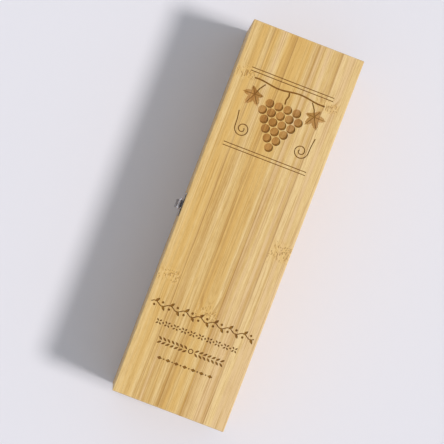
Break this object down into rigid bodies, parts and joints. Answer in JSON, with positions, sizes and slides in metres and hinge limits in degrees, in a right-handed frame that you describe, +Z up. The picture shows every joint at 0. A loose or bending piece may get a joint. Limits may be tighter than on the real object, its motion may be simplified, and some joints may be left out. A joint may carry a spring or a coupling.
{
  "type": "wooden wine box",
  "caption": "Long lidded bamboo gift box that holds one bottle lying down, with a carved lid, butt hinges behind and a toggle latch in front.",
  "frame": {"origin": "centre of the underside, where the box rests", "axes": "+X along the box away from the carving's head, -Y is the latch side, +Z up"},
  "size_m": [0.355, 0.1133, 0.1],
  "materials": {
    "bamboo_panel": "sanded bamboo, laminated from flat strips along the box, clear matt",
    "bamboo_board": "sanded bamboo board, strips along the box",
    "bamboo_end": "sanded bamboo board, strips across the box",
    "bamboo_support": "planed bamboo board",
    "nickel_plate": "bright nickel plated pressed steel",
    "nickel_wire": "bright nickel plated steel wire",
    "bright_steel": "bright steel"
  },
  "bodies": {
    "box": {"bottom_panel": "bamboo_panel", "front_wall": "bamboo_board", "back_wall": "bamboo_board", "left_end": "bamboo_end", "right_end": "bamboo_end", "neck_rest": "bamboo_support", "bottle_saddle": "bamboo_support", "left_hinge_body_leaf": "nickel_plate", "left_hinge_pin": "bright_steel", "right_hinge_body_leaf": "nickel_plate", "right_hinge_pin": "bright_steel", "hinge_body_screws": "bright_steel", "latch_base": "nickel_plate", "latch_base_screws": "bright_steel"},
    "lid": {"lid_panel": "bamboo_panel", "lid_front_rail": "bamboo_board", "lid_back_rail": "bamboo_board", "lid_left_rail": "bamboo_end", "lid_right_rail": "bamboo_end", "left_hinge_lid_leaf": "nickel_plate", "right_hinge_lid_leaf": "nickel_plate", "hinge_lid_screws": "bright_steel", "strike_plate": "nickel_plate", "strike_screws": "bright_steel"},
    "latch_lever": {"latch_lever": "nickel_plate", "lever_pin": "bright_steel"},
    "latch_bail": {"latch_bail": "nickel_wire"}
  },
  "joints": [
    {"name": "lid_hinge", "type": "hinge", "parent": "box", "child": "lid", "pos_m": [0, 0.05205, 0.07735], "axis": [-1, 0, 0], "range_deg": [0, 100]},
    {"name": "lever_pivot", "type": "hinge", "parent": "box", "child": "latch_lever", "pos_m": [0, -0.0559, 0.06995], "axis": [-1, 0, 0], "range_deg": [0, 120]},
    {"name": "bail_pivot", "type": "hinge", "parent": "latch_lever", "child": "latch_bail", "pos_m": [0, -0.0553, 0.06525], "axis": [-1, 0, 0], "range_deg": [-300, 0]}
  ],
  "couplings": [
    {"joint": "bail_pivot", "follows": "lever_pivot", "ratio": -2.5}
  ]
}
